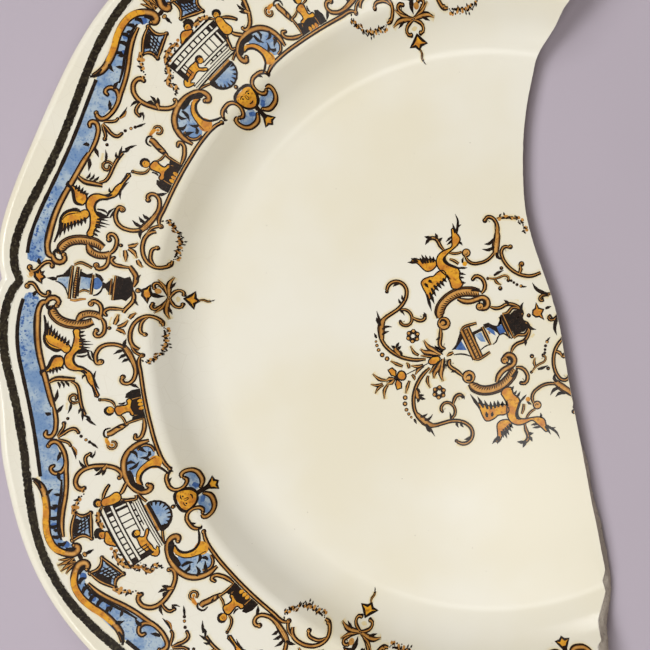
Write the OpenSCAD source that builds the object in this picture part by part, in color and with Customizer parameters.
// Broken dinner plate: the larger part of a lobed, glazed earthenware plate with printed ornament.
// Millimetres. +Z is up, and the plate lies face up on its foot ring. Angles are measured
// anticlockwise from +X about the plate's own axis. The origin is on the table, under the middle
// of the box that holds the fragment.

/* [Plate] */
// Widest diameter, across the crowns of the lobes
plate_d = 250; // [220:5:280]
// Height of the rim's crown above the table
plate_h = 20.5; // [19:0.5:24]
// Thickness of the wall
wall = 4.4; // [3:0.2:5.4]
// Number of lobes round the rim
lobes = 5; // [4:1:8]
// Depth of the hollow between two lobes
lobe_depth = 2.4; // [0.4:0.2:4]
// Depth of the small nick where two lobes meet
nick_depth = 3.6; // [0:0.2:5]
// Direction of the nick on the unbroken side
nick_angle = 173.4; // [160:0.2:190]

/* [Section] */
// Diameter at which the flat rim begins, outside the well
rim_start_d = 172; // [166:2:180]
// Slope of the rim, in degrees
rim_slope = 9; // [6:1:12]
// Steepest slope of the wall between the well and the rim
side_slope = 42; // [36:1:50]
// Radius of the curve at the bottom of that wall
lower_curve_r = 12; // [9:1:14]
// Radius of the curve at the top of that wall
upper_curve_r = 8; // [7:0.5:9]
// Width of the rounded lip
lip_w = 2.2; // [1.6:0.1:2.8]

/* [Foot ring] */
// Middle diameter of the foot ring
foot_d = 130; // [110:2:134]
// Width of the face that it stands on
foot_w = 2.6; // [2:0.2:4]
// Height of the foot ring
foot_h = 1.8; // [1:0.2:2.6]

/* [Break] */
// How far the break runs in under the glaze on its upper stretch
undercut = 1.4; // [0:0.1:2.5]
// How far the bare body stands out below the glaze on its lower stretch
outcrop = 2.3; // [0:0.1:3.5]
// Depth of the chips along the lower stretch
chip_depth = 0.9; // [0:0.1:2]
// Roughness of the broken face
roughness = 0.12; // [0:0.02:0.3]

/* [Print] */
// Thickness of the printed colours
film = 0.15; // [0.1:0.05:0.3]
// Distance from the lip to the middle of the painted rim band
band_inset = 3.7; // [3.7:0.1:5]
// Width of the painted rim band
band_w = 3; // [2:0.2:3.2]
// Depth by which the band's hollows go beyond the lip's own
band_extra = 2.6; // [0:0.2:4]
// Distance from the middle of the band to the middle of the thin line inside it
line_gap = 3.6; // [3:0.1:5]
// Width of the thin line
line_w = 0.9; // [0.6:0.1:1.4]
// Width of the blue panels beside the urns
panel_w = 6; // [4:0.5:7]
// Width of the scrolls
scroll_w = 1.4; // [1:0.1:2]

/* [Hidden] */
$fn = 96;

// Directions of the mask and urn axes, in turn round the rim, as the print was laid
AXES = [68, 103.5, 136.3, 173.4, 208, 245.5, 283];
URNS = [1, 3, 5];
MASKS = [2, 4];
// Direction of the centre ornament's own axis, and the place of its middle as shares of the radius
CENTRE_TURN = 25;
CENTRE = [-0.017, -0.007];

// The break from the lower rim to the upper one, as shares of the plate's radius
BREAK = [
    [0.200, -1.080], [0.203, -0.900], [0.205, -0.740], [0.217, -0.600], [0.232, -0.500],
    [0.222, -0.430], [0.204, -0.340], [0.184, -0.230], [0.166, -0.135], [0.150, -0.043],
    [0.139, 0.020], [0.122, 0.082], [0.103, 0.136], [0.084, 0.194], [0.071, 0.250],
    [0.066, 0.320], [0.067, 0.400], [0.074, 0.464], [0.085, 0.520], [0.096, 0.563],
    [0.125, 0.612], [0.150, 0.660], [0.208, 0.756], [0.253, 0.860], [0.285, 0.975], [0.300, 1.080]
];
BREAK_STEPS = 3;
// Chips along the break: the height at which each ends, its length and its depth, as shares
CHIPS = [[-0.146, 0.05, 0.4], [-0.486, 0.08, 1], [-0.548, 0.05, 0.8], [-0.605, 0.07, 1], [-0.700, 0.08, 0.8]];
// Height at which the break turns from outcrop to undercut, and the length of that turn
BREAK_TURN = -0.30;
BREAK_TURN_LENGTH = 0.10;

// Width of a blue panel along half a lobe: share of the way from urn to mask, share of panel_w
PANEL = [[0.07, 0.1], [0.10, 0.95], [0.24, 0.65], [0.34, 0.7], [0.47, 0.92], [0.60, 1.05], [0.71, 1.45], [0.80, 1], [0.84, 0.1]];

plate_r = plate_d / 2;
rim_start_r = rim_start_d / 2;
foot_r = foot_d / 2;
well_z = foot_h + wall;
lobe_angle = 360 / lobes;

// The print is drawn for a rim of DRAWN_RIM_W and follows the rim's own width
DRAWN_RIM_W = 39;
rim_w = plate_r - rim_start_r;
motif_scale = rim_w / DRAWN_RIM_W;
drawn_band_w = band_w * motif_scale;
drawn_line_w = line_w * motif_scale;
drawn_scroll_w = scroll_w * motif_scale;

MARGIN = 3;
SKY = plate_h + 10;
FAR = plate_d;
ARC_STEPS = 7;
RIM_STEP = lobe_angle / 24;

// ---------- Section ----------

// The wall between the well and the rim is an arc, a straight and an arc. The straight takes up
// the height that the arcs and the rim's own slope leave.
side_rise = plate_h - well_z - (plate_r - rim_start_r) * tan(rim_slope);
lower_rise = lower_curve_r * (1 - cos(side_slope));
upper_rise = upper_curve_r * (cos(rim_slope) - cos(side_slope));
straight = (side_rise - lower_rise - upper_rise) / sin(side_slope);
lower_run = lower_curve_r * sin(side_slope);
upper_run = upper_curve_r * (sin(side_slope) - sin(rim_slope));
well_r = rim_start_r - upper_run - straight * cos(side_slope) - lower_run;

lower_centre = [well_r, well_z + lower_curve_r];
side_bottom = lower_centre + lower_curve_r * [sin(side_slope), -cos(side_slope)];
side_top = side_bottom + straight * [cos(side_slope), sin(side_slope)];
upper_centre = side_top + upper_curve_r * [sin(side_slope), -cos(side_slope)];
rim_start = upper_centre + upper_curve_r * [-sin(rim_slope), cos(rim_slope)];

function arc(centre, r, from, to, steps = ARC_STEPS) =
    [for (i = [0:steps]) let (a = from + (to - from) * i / steps) centre + r * [cos(a), sin(a)]];

function reversed(list) = [for (i = [len(list) - 1:-1:0]) list[i]];

// The rim's slope at radius r, sunk square to itself by depth
function rim_point(r, depth = 0) =
    let (foot = rim_start + depth * [sin(rim_slope), -cos(rim_slope)])
    [r, foot.y + (r - foot.x) * tan(rim_slope)];

// The upper side from the edge of the well to radius end, sunk square to itself by depth
function upper_side(end, depth = 0) = concat(
    arc(lower_centre, lower_curve_r + depth, -90, side_slope - 90),
    arc(upper_centre, upper_curve_r - depth, 90 + side_slope, 90 + rim_slope),
    [rim_point(end, depth)]
);

// Height of the glazed face at radius r
function face_z(r) =
    r < well_r ? well_z :
    r < side_bottom.x ? lower_centre.y - sqrt(pow(lower_curve_r, 2) - pow(r - well_r, 2)) :
    r < side_top.x ? side_top.y - (side_top.x - r) * tan(side_slope) :
    r < rim_start.x ? upper_centre.y + sqrt(pow(upper_curve_r, 2) - pow(upper_centre.x - r, 2)) :
    rim_point(r).y;

// The foot ring's profile, tapered towards the face that it stands on. Its top is in the wall.
foot_top = foot_h + wall / 2;
foot_half_top = foot_w / 2 + foot_top / 3;
foot_profile = [
    [foot_r - foot_half_top, foot_top],
    [foot_r - foot_w / 2, 0],
    [foot_r + foot_w / 2, 0],
    [foot_r + foot_half_top, foot_top]
];

module section() {
    polygon(concat(
        [[0, foot_h]],
        upper_side(plate_r + MARGIN, wall),
        reversed(upper_side(plate_r + MARGIN)),
        [[0, well_z]]
    ));
    polygon(foot_profile);
}

// ---------- Outline ----------

function ray(r, a) = r * [cos(a), sin(a)];

// Angle from the nearest nick
function from_nick(a) =
    let (turn = ((a - nick_angle) % lobe_angle + lobe_angle) % lobe_angle)
    min(turn, lobe_angle - turn);

// 0 on a lobe's crown, 1 in the hollow beside a nick
function hollow(a) = 0.5 + 0.5 * cos(340 * (2 * from_nick(a) / lobe_angle - 0.47));

function nick(a, width) = exp(-from_nick(a) / width);

function lip_r(a) = plate_r - lobe_depth * hollow(a) - nick_depth * nick(a, 3.2);

function band_r(a) =
    plate_r - motif_scale * (band_inset + band_extra * hollow(a)) - lobe_depth * hollow(a) - 1.3 * nick_depth * nick(a, 2.5);

function line_r(a) = band_r(a) - motif_scale * (line_gap - 0.25 * band_extra * hollow(a));

// A closed solid through rings of points, from the lowest ring to the highest. Each ring runs
// anticlockwise and has as many points as the others, and the first and last are level.
module loft(rings) {
    n = len(rings[0]);
    last = len(rings) - 1;
    sides = [for (k = [0:last - 1], i = [0:n - 1]) let (a = k * n, b = a + n, j = (i + 1) % n)
        each [[a + i, b + i, b + j], [a + i, b + j, a + j]]];
    polyhedron(
        [for (ring = rings) each ring],
        concat([[for (i = [0:n - 1]) i]], sides, [[for (i = [n - 1:-1:0]) last * n + i]])
    );
}

// The lobed outline with its rounded lip, as a solid that the turned plate is cut to
LIP_TURNS = [-90, -50, 0, 50, 90];
module lip_envelope() {
    angles = [for (i = [0:360 / RIM_STEP - 1]) nick_angle + i * RIM_STEP];
    function middle(a) = rim_point(lip_r(a), wall / 2).y;
    function ring(inset, rise) =
        [for (a = angles) concat(ray(lip_r(a) - inset, a), middle(a) + rise)];
    function level(z) = [for (a = angles) concat(ray(lip_r(a) - lip_w - 1, a), z)];
    loft(concat(
        [level(-MARGIN)],
        [ring(lip_w + 1, -wall / 2 - 1)],
        [for (t = LIP_TURNS) ring(lip_w * (1 - cos(t)), wall / 2 * sin(t))],
        [ring(lip_w + 1, wall / 2 + 1)],
        [level(SKY)]
    ));
}

// ---------- Break ----------

function spline(p, i, t) =
    let (a = p[max(i - 1, 0)], b = p[i], c = p[i + 1], d = p[min(i + 2, len(p) - 1)])
    0.5 * (2 * b + (c - a) * t + (2 * a - 5 * b + 4 * c - d) * pow(t, 2) + (3 * b - a - 3 * c + d) * pow(t, 3));

function smooth(p, steps) = concat(
    [for (i = [0:len(p) - 2], s = [0:steps - 1]) spline(p, i, s / steps)],
    [p[len(p) - 1]]
);

function chip(y) =
    max([for (c = CHIPS) y <= c[0] && y > c[0] - c[1] ? c[2] * (1 - (c[0] - y) / c[1]) : 0]);

// 1 where the bare body stands out below the glaze, 0 where the break runs in under it
function outcrop_share(y) = min(1, max(0, (BREAK_TURN - y) / BREAK_TURN_LENGTH + 0.5));

break_line = smooth(BREAK, BREAK_STEPS);
// Depths of the break's rings, as shares of the wall, from just below it to just above the glaze
DEPTHS = [1.12, 0.45, -0.12];
jitter = rands(-roughness, roughness, len(DEPTHS) * len(break_line), 11);

// The broken edge at one of DEPTHS
function broken_edge(k) = [for (i = [0:len(break_line) - 1])
    let (
        p = break_line[i],
        out = outcrop_share(p.y),
        lean = DEPTHS[k] * (out * outcrop - (1 - out) * undercut),
        chipped = DEPTHS[k] < 0 ? chip_depth * chip(p.y) : 0,
        x = plate_r * p.x + lean - chipped + jitter[k * len(break_line) + i],
        y = plate_r * p.y
    )
    [x, y, face_z(norm([x, y])) - wall * DEPTHS[k]]];

// Everything on the lost side of the break
module lost_side() {
    function ring(edge, rise) = concat(
        [for (p = reversed(edge)) p + [0, 0, rise]],
        [[FAR, edge[0].y, edge[0].z + rise], [FAR, edge[len(edge) - 1].y, edge[0].z + rise]]
    );
    function level(edge, z) = [for (p = ring(edge, 0)) [p.x, p.y, z]];
    edges = [for (k = [0:len(DEPTHS) - 1]) broken_edge(k)];
    loft(concat(
        [level(edges[0], -MARGIN)],
        [ring(edges[0], -wall / 2)],
        [for (edge = edges) ring(edge, 0)],
        [ring(edges[2], wall)],
        [level(edges[2], SKY)]
    ));
}

// ---------- Where the fragment lies ----------

// The fragment's corners: its rim to the left of the break, and the break within the rim
kept_rim = [for (a = [0:1:359]) let (p = ray(lip_r(a), a)) if (p.x < 0) p];
kept_break = [for (p = break_line) if (norm(p) < 0.97) plate_r * p];
outline = concat(kept_rim, kept_break);
middle_x = (min([for (p = outline) p.x]) + max([for (p = outline) p.x])) / 2;
middle_y = (min([for (p = outline) p.y]) + max([for (p = outline) p.y])) / 2;

module on_table() {
    translate([-middle_x, -middle_y, 0]) children();
}

// ---------- Print ----------

// Each motif is drawn flat, with +X pointing outwards from the plate's axis. It draws only the
// shapes of one ink, so that no two inks lie on each other.
border_r = rim_start_r + 1.2 * motif_scale;
panel_gap = 0.3 * motif_scale;
CURL_STEP = 30;
LEAF_STEPS = 4;
DOT_SIDES = 10;

// Runs its children once for each half of the print between an urn and a mask
module each_half() {
    for (urn = URNS, side = [-1, 1]) {
        $from = AXES[urn];
        $to = AXES[urn + side];
        $side = side;
        children();
    }
}

function half_angle(share) = $from + ($to - $from) * share;

// Places a motif at a height above the rim's inner edge, along direction a
module on_rim(a, height) {
    rotate(a) translate([rim_start_r + height * motif_scale, 0]) scale(motif_scale) children();
}

// Places a motif at a share of the way from the urn to the mask, with +Y towards the mask
module spot(share, height, turn = 0) {
    on_rim(half_angle(share), height) flipped($side) rotate(turn) children();
}

module flipped(side) {
    mirror([0, side > 0 ? 0 : 1]) children();
}

// Part of a ring, with a ball at its last end
module curl(r, from, to, w = scroll_w, ball = 0.9) {
    steps = ceil((to - from) / CURL_STEP);
    polygon(concat(
        arc([0, 0], r + w / 2, from, to, steps),
        arc([0, 0], r - w / 2, to, from, steps)
    ));
    if (ball > 0)
        rotate(to) translate([r - w / 4, 0]) rotate(180 / DOT_SIDES) circle(ball * w, $fn = DOT_SIDES);
}

module flower(r) {
    for (i = [0:5]) rotate(60 * i) translate([0.62 * r, 0]) circle(0.38 * r, $fn = DOT_SIDES);
    circle(0.4 * r, $fn = DOT_SIDES);
}

// A pointed leaf along +X
module leaf(length, width) {
    polygon(concat(
        [for (i = [0:LEAF_STEPS]) [length * i / LEAF_STEPS, width / 2 * sin(180 * i / LEAF_STEPS)]],
        [for (i = [LEAF_STEPS - 1:-1:1]) [length * i / LEAF_STEPS, -width / 2 * sin(180 * i / LEAF_STEPS)]]
    ));
}

// A vase on a foot under a blue tent, its foot towards the middle of the plate
module urn(ink) {
    if (ink == "blue") {
        translate([9, 0]) polygon([[4.6, 0], [2, 1.4], [0, 3.4], [0, -3.4], [2, -1.4]]);
        translate([-0.2, -1.9]) square([5.6, 3.8]);
        translate([-6.4, -1.2]) square([3.8, 2.4]);
    }
    if (ink == "ochre") {
        translate([14.6, 0]) circle(0.9, $fn = DOT_SIDES);
        translate([5.6, -3.6]) square([3.2, 7.2]);
        translate([-2.4, -2.6]) square([2, 5.2]);
        translate([-12, -4]) square([1.2, 8]);
    }
    if (ink == "black")
        translate([-10.6, -3.2]) square([4, 6.4]);
}

// The pendant below an urn, from the border down into the well
module pendant(ink) {
    if (ink == "ochre") {
        translate([3, 0]) rotate(180) leaf(6, 2.4);
        for (turn = [45, -45]) translate([-5.2, 0]) rotate(turn) square([5, 1], center = true);
        for (side = [-1, 1]) translate([-2.4, 5.2 * side]) flipped(side) curl(2.2, 30, 250, 1);
        translate([-8.4, 0]) rotate(180) leaf(3.4, 2);
        translate([-12.2, 0]) rotate(180) leaf(3.2, 1);
    }
}

// A crested long-necked bird with open wings
module bird(ink) {
    if (ink == "ochre") {
        polygon([[-5.4, 4.6], [-4.2, 5], [-2.2, 1.8], [0.6, 1.6], [2.4, 0.4], [4.6, 1.4], [6, 0.4], [3, -1.6],
            [0.2, -1.6], [-2.2, -0.6], [-3.6, 1.2]]);
        translate([1.4, 2]) rotate(62) leaf(5.6, 2.4);
        translate([1, -2.2]) rotate(-70) leaf(5, 2.2);
    }
}

// A band that curls back on itself between the urn and the bird
module serpent(ink) {
    if (ink == "ochre") {
        curl(3.8, -30, 170, 2);
        translate([0.4, 7.2]) curl(3.2, 150, 330, 1.6);
    }
}

// An open colonnade with an ochre frame and dark bars
module colonnade(ink) {
    bars = 4;
    if (ink == "ochre") {
        translate([5.4, 0]) square([1.4, 15], center = true);
        translate([-5.4, 0]) square([1.4, 11], center = true);
        for (side = [-1, 1]) translate([0, 7.8 * side]) curl(2.6, 0, 360, 1, 0);
    }
    if (ink == "black")
        for (i = [0:bars - 1]) translate([0, 2.6 * (i - (bars - 1) / 2)]) square([8.4, 1.2], center = true);
}

// A round face between two horn-shaped scrolls, with a bud below it
module mask(ink) {
    if (ink == "ochre") {
        circle(2.5, $fn = DOT_SIDES);
        translate([-7, 0]) rotate(180) leaf(4, 1.6);
    }
    if (ink == "blue")
        for (side = [-1, 1]) translate([-1, 5.6 * side]) flipped(side) curl(1.9, -80, 150, 1.6, 0.6);
}

// The leaf scrolls that fill a half between the urn and the mask
module scrolls(ink) {
    if (ink == "ochre") {
        spot(0.13, 5.6) curl(3.6, 20, 310);
        spot(0.34, 8, 90) curl(3, -30, 190);
        spot(0.45, 16) curl(2.4, 60, 300, 1);
        spot(0.50, 8.4, 80) leaf(7, 3);
        spot(0.58, 15, 20) curl(3.6, 30, 250, 1.2);
        spot(0.70, 6.6, 60) curl(4, -40, 165, 1.8, 0.7);
        spot(0.74, 16) curl(3, 90, 330, 1.2);
        spot(0.91, 26, 10) curl(3.2, 20, 250, 1.6);
    }
    if (ink == "blue")
        spot(0.70, 6.6) circle(2.2, $fn = DOT_SIDES);
}

// A blue panel along the inner side of the thin line, with an ochre edge
module panel(ink) {
    shares = smooth(PANEL, 4);
    last = len(shares) - 1;
    angles = [for (p = shares) half_angle(p.x)];
    outer = [for (a = angles) line_r(a) - drawn_line_w / 2 - panel_gap];
    inner = [for (i = [0:last]) outer[i] - panel_w * motif_scale * shares[i].y];
    if (ink == "blue")
        polygon(concat(
            [for (i = [0:last]) ray(outer[i], angles[i])],
            [for (i = [last:-1:0]) ray(inner[i], angles[i])]
        ));
    if (ink == "ochre")
        polygon(concat(
            [for (i = [1:last - 1]) ray(inner[i] - panel_gap, angles[i])],
            [for (i = [last - 1:-1:1]) ray(inner[i] - panel_gap - drawn_scroll_w, angles[i])]
        ));
}

// A strip of width w through radii at angles
module strip(angles, radii, w) {
    polygon(concat(
        [for (i = [0:len(angles) - 1]) ray(radii[i] + w / 2, angles[i])],
        [for (i = [len(angles) - 1:-1:0]) ray(radii[i] - w / 2, angles[i])]
    ));
}

// The line round the inner edge of the rim, between the ornaments on the axes
module border(ink) {
    if (ink == "ochre") {
        part = [for (i = [0:9]) half_angle(0.2 + 0.0667 * i)];
        strip(part, [for (a = part) border_r], drawn_scroll_w);
    }
}

// The painted band inside the lip, and the thin line inside it that stops at each axis
module rim_lines(ink) {
    if (ink == "black") {
        whole = [for (a = [AXES[0] - 8:RIM_STEP / 2:AXES[6] + 8]) a];
        strip(whole, [for (a = whole) band_r(a)], drawn_band_w);
        each_half() {
            part = [for (i = [0:22]) half_angle(0.07 + 0.035 * i)];
            strip(part, [for (a = part) line_r(a)], drawn_line_w);
        }
    }
}

// The ornament in the middle of the well, mirrored about its own axis
module centre_ornament(ink) {
    translate(plate_r * CENTRE) rotate(CENTRE_TURN) scale(motif_scale) {
        translate([3.2, 0]) rotate(180) scale(0.8) urn(ink);
        for (side = [-1, 1]) flipped(side) {
            translate([-0.5, 20.5]) rotate(70) bird(ink);
            if (ink == "ochre") {
                translate([-1.5, 9]) curl(4.8, 15, 195, 2);
                translate([-18.2, 10]) curl(4.6, 75, 285, 1.2);
                translate([-14.6, 19]) curl(3.2, -80, 170, 1.2);
                translate([-15.5, 7.7]) flower(1.8);
                translate([10, 22.5]) curl(5, -90, 60, 1.2);
                translate([18, 14]) curl(4.4, 100, 270, 1.2);
            }
        }
        if (ink == "ochre")
            for (turn = [-50, -25, 0, 25, 50]) translate([-11.5, 0]) rotate(180 + turn) leaf(5, 1.4);
    }
}

module rim_design(ink) {
    rim_lines(ink);
    each_half() {
        panel(ink);
        border(ink);
        spot(0.24, 15.5, 60) bird(ink);
        spot(0.15, 16) serpent(ink);
        scrolls(ink);
    }
    for (i = URNS) on_rim(AXES[i], 13.5) scale(0.8) urn(ink);
    for (i = MASKS) on_rim(AXES[i], 14) colonnade(ink);
}

module side_design(ink) {
    for (i = URNS) on_rim(AXES[i], -1) pendant(ink);
    for (i = MASKS) on_rim(AXES[i], -1.6) mask(ink);
}

// A thin film over a turned stretch of the glaze, between its lower and upper outline
module film_over(lower, upper) {
    intersection() {
        rotate_extrude() polygon(concat(lower, reversed(upper)));
        linear_extrude(SKY) children();
    }
}

// The whole design in one ink, laid on the glaze as far as the break
module printed(ink) {
    rim_end = plate_r - lip_w;
    side_end = rim_start_r + rim_w / 8;
    on_table() difference() {
        union() {
            film_over([rim_start, rim_point(rim_end)], [rim_point(rim_start.x, -film), rim_point(rim_end, -film)])
                rim_design(ink);
            if (ink != "black")
                film_over(upper_side(side_end), upper_side(side_end, -film))
                    side_design(ink);
            translate([0, 0, well_z]) linear_extrude(film) centre_ornament(ink);
        }
        lost_side();
    }
}

// ---------- Nodes ----------

module plate_fragment() {
    color("#ede7d5") on_table() difference() {
        intersection() {
            rotate_extrude() section();
            lip_envelope();
        }
        lost_side();
    }
}

module black_print() {
    color("#1e130d") printed("black");
}

module blue_print() {
    color("#7391c0") printed("blue");
}

module ochre_print() {
    color("#c98a34") printed("ochre");
}

plate_fragment();
black_print();
blue_print();
ochre_print();
